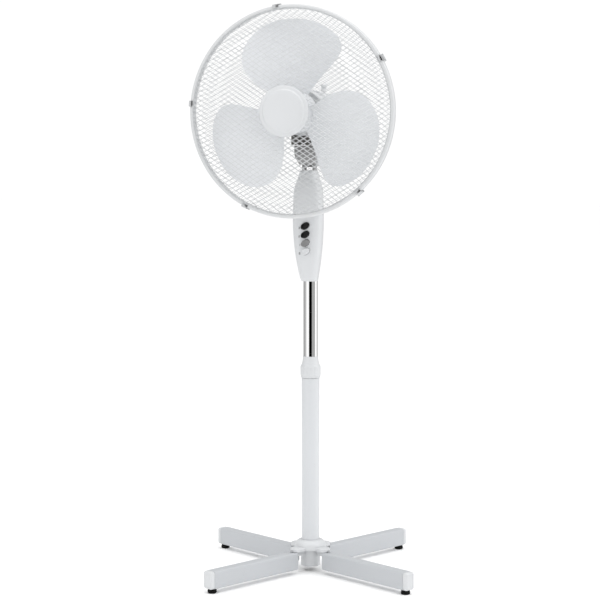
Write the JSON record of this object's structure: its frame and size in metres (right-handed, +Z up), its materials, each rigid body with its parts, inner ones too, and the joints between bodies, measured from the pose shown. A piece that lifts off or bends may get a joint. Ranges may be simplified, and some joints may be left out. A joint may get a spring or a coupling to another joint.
{
  "type": "pedestal fan",
  "caption": "Floor-standing pedestal fan: cross base, telescopic pole, push-button box, and a tilting, sweeping head with paddle blades in a mesh guard.",
  "frame": {"origin": "on the pole's axis, at the floor under the feet", "axes": "+Z up the pole, -Y the way the fan faces at rest, +X to the left hand of someone the fan blows on"},
  "size_m": [0.5054, 0.5054, 1.1676],
  "materials": {
    "base_hub": "moulded white plastic, satin",
    "leg_1": "white powder coat",
    "leg_2": "white powder coat",
    "leg_3": "white powder coat",
    "leg_4": "white powder coat",
    "leg_cap_1": "moulded white plastic, satin",
    "leg_cap_2": "moulded white plastic, satin",
    "leg_cap_3": "moulded white plastic, satin",
    "leg_cap_4": "moulded white plastic, satin",
    "foot_1": "black rubber",
    "foot_2": "black rubber",
    "foot_3": "black rubber",
    "foot_4": "black rubber",
    "leg_screw_1": "zinc-plated steel",
    "leg_screw_2": "zinc-plated steel",
    "leg_screw_3": "zinc-plated steel",
    "leg_screw_4": "zinc-plated steel",
    "outer_pole": "white powder coat",
    "collar_collet": "grey plastic",
    "height_collar": "moulded white plastic, satin",
    "inner_pole": "bright chrome plate",
    "inner_pole_bush": "grey plastic",
    "panel_front_shell": "moulded white plastic, satin",
    "panel_rear_shell": "moulded white plastic, satin",
    "switch_block": "black plastic",
    "cord_gland": "black rubber",
    "neck_bracket": "grey plastic",
    "tilt_bolt": "zinc-plated steel",
    "button_high": "black plastic",
    "button_medium": "black plastic",
    "button_low": "mid-grey plastic",
    "button_off": "moulded white plastic, satin",
    "tilt_knob": "moulded white plastic, satin",
    "swivel_block": "grey plastic",
    "crank_link": "zinc-plated steel",
    "motor_front_cover": "moulded white plastic, satin",
    "motor_rear_cover": "moulded white plastic, satin",
    "head_bracket": "dark grey plastic",
    "sweep_pin": "zinc-plated steel",
    "stator_core": "laminated steel",
    "stator_winding": "varnished copper wire",
    "bearing_front": "sintered bronze",
    "bearing_rear": "sintered bronze",
    "gearbox_housing": "natural acetal",
    "front_guard": "white powder coat",
    "rear_guard": "white powder coat",
    "guard_lock_nut": "moulded white plastic, satin",
    "centre_cap": "moulded white plastic, satin",
    "motor_shaft": "zinc-plated steel",
    "rotor_core": "laminated steel",
    "fan_blade": "pale moulded plastic, satin",
    "blade_nut": "moulded white plastic, satin",
    "worm_wheel": "natural acetal",
    "crank_gear": "zinc-plated steel",
    "clutch_knob": "moulded white plastic, satin",
    "guard_clip_1": "zinc-plated steel",
    "guard_clip_2": "zinc-plated steel",
    "guard_clip_3": "zinc-plated steel",
    "guard_clip_4": "zinc-plated steel",
    "guard_clip_5": "zinc-plated steel"
  },
  "bodies": {
    "base": {"base_hub": "base_hub", "leg_1": "leg_1", "leg_2": "leg_2", "leg_3": "leg_3", "leg_4": "leg_4", "leg_cap_1": "leg_cap_1", "leg_cap_2": "leg_cap_2", "leg_cap_3": "leg_cap_3", "leg_cap_4": "leg_cap_4", "foot_1": "foot_1", "foot_2": "foot_2", "foot_3": "foot_3", "foot_4": "foot_4", "leg_screw_1": "leg_screw_1", "leg_screw_2": "leg_screw_2", "leg_screw_3": "leg_screw_3", "leg_screw_4": "leg_screw_4", "outer_pole": "outer_pole", "collar_collet": "collar_collet"},
    "collar": {"height_collar": "height_collar"},
    "mast": {"inner_pole": "inner_pole", "inner_pole_bush": "inner_pole_bush", "panel_front_shell": "panel_front_shell", "panel_rear_shell": "panel_rear_shell", "switch_block": "switch_block", "cord_gland": "cord_gland", "neck_bracket": "neck_bracket", "tilt_bolt": "tilt_bolt"},
    "button_high": {"button_high": "button_high"},
    "button_medium": {"button_medium": "button_medium"},
    "button_low": {"button_low": "button_low"},
    "button_off": {"button_off": "button_off"},
    "tilt_knob": {"tilt_knob": "tilt_knob"},
    "swivel": {"swivel_block": "swivel_block"},
    "link": {"crank_link": "crank_link"},
    "head": {"motor_front_cover": "motor_front_cover", "motor_rear_cover": "motor_rear_cover", "head_bracket": "head_bracket", "sweep_pin": "sweep_pin", "stator_core": "stator_core", "stator_winding": "stator_winding", "bearing_front": "bearing_front", "bearing_rear": "bearing_rear", "gearbox_housing": "gearbox_housing", "front_guard": "front_guard", "rear_guard": "rear_guard", "guard_lock_nut": "guard_lock_nut", "centre_cap": "centre_cap"},
    "rotor": {"motor_shaft": "motor_shaft", "rotor_core": "rotor_core", "fan_blade": "fan_blade", "blade_nut": "blade_nut"},
    "worm_wheel": {"worm_wheel": "worm_wheel"},
    "crank": {"crank_gear": "crank_gear"},
    "clutch": {"clutch_knob": "clutch_knob"},
    "clip_1": {"guard_clip_1": "guard_clip_1"},
    "clip_2": {"guard_clip_2": "guard_clip_2"},
    "clip_3": {"guard_clip_3": "guard_clip_3"},
    "clip_4": {"guard_clip_4": "guard_clip_4"},
    "clip_5": {"guard_clip_5": "guard_clip_5"}
  },
  "joints": [
    {"name": "mast_height", "type": "slide", "parent": "base", "child": "mast", "axis": [0, 0, 1], "range_m": [-0.15, 0.1]},
    {"name": "collar_turn", "type": "hinge", "parent": "base", "child": "collar", "pos_m": [0, 0, 0.4076], "axis": [0, 0, 1], "range_deg": [0, 90]},
    {"name": "head_tilt", "type": "hinge", "parent": "mast", "child": "swivel", "pos_m": [0, -0.008, 0.856], "axis": [-1, 0, 0], "range_deg": [-15, 25]},
    {"name": "tilt_knob_turn", "type": "hinge", "parent": "mast", "child": "tilt_knob", "pos_m": [0, -0.008, 0.856], "axis": [1, 0, 0], "range_deg": [0, 180]},
    {"name": "head_sweep", "type": "hinge", "parent": "swivel", "child": "head", "pos_m": [0, -0.012, 0.889], "axis": [0, 0, 1], "range_deg": [-40, 40]},
    {"name": "link_swing", "type": "hinge", "parent": "swivel", "child": "link", "pos_m": [0.0185, -0.012, 0.8805], "axis": [0, 0, 1], "range_deg": [-36, 36]},
    {"name": "blade_spin", "type": "hinge", "parent": "head", "child": "rotor", "pos_m": [0, 0, 0.9536], "axis": [0, -1, 0], "continuous": true},
    {"name": "worm_wheel_spin", "type": "hinge", "parent": "head", "child": "worm_wheel", "pos_m": [0.0145, 0.048, 0.9536], "axis": [0, 0, 1], "continuous": true},
    {"name": "crank_spin", "type": "hinge", "parent": "head", "child": "crank", "pos_m": [-0.0065, 0.048, 0.9536], "axis": [0, 0, 1], "continuous": true},
    {"name": "clutch_pull", "type": "slide", "parent": "head", "child": "clutch", "axis": [0, 0, 1], "range_m": [0, 0.006]},
    {"name": "press_high", "type": "slide", "parent": "mast", "child": "button_high", "axis": [0, 1, 0], "range_m": [0, 0.004], "stiffness_N_per_m": 400, "springref_m": -0.004},
    {"name": "press_medium", "type": "slide", "parent": "mast", "child": "button_medium", "axis": [0, 1, 0], "range_m": [0, 0.004], "stiffness_N_per_m": 400, "springref_m": -0.004},
    {"name": "press_low", "type": "slide", "parent": "mast", "child": "button_low", "axis": [0, 1, 0], "range_m": [0, 0.004], "stiffness_N_per_m": 400, "springref_m": -0.004},
    {"name": "press_off", "type": "slide", "parent": "mast", "child": "button_off", "axis": [0, 1, 0], "range_m": [0, 0.004], "stiffness_N_per_m": 400, "springref_m": -0.004},
    {"name": "clip_1_open", "type": "hinge", "parent": "head", "child": "clip_1", "pos_m": [0.18584, -0.1305, 1.05789], "axis": [-0.4894, 0, 0.8721], "range_deg": [0, 100]},
    {"name": "clip_2_open", "type": "hinge", "parent": "head", "child": "clip_2", "pos_m": [-0.03076, -0.1305, 1.16447], "axis": [-0.9895, 0, -0.1444], "range_deg": [0, 100]},
    {"name": "clip_3_open", "type": "hinge", "parent": "head", "child": "clip_3", "pos_m": [-0.21232, -0.1305, 0.9718], "axis": [-0.0854, 0, -0.9963], "range_deg": [0, 100]},
    {"name": "clip_4_open", "type": "hinge", "parent": "head", "child": "clip_4", "pos_m": [-0.09708, -0.1305, 0.7639], "axis": [0.8902, 0, -0.4555], "range_deg": [0, 100]},
    {"name": "clip_5_open", "type": "hinge", "parent": "head", "child": "clip_5", "pos_m": [0.14093, -0.1305, 0.79375], "axis": [0.7501, 0, 0.6613], "range_deg": [0, 100]}
  ],
  "couplings": [
    {"joint": "worm_wheel_spin", "follows": "blade_spin", "ratio": 0.0625},
    {"joint": "crank_spin", "follows": "blade_spin", "ratio": -0.020833},
    {"joint": "link_swing", "follows": "head_sweep", "ratio": 0.9}
  ]
}
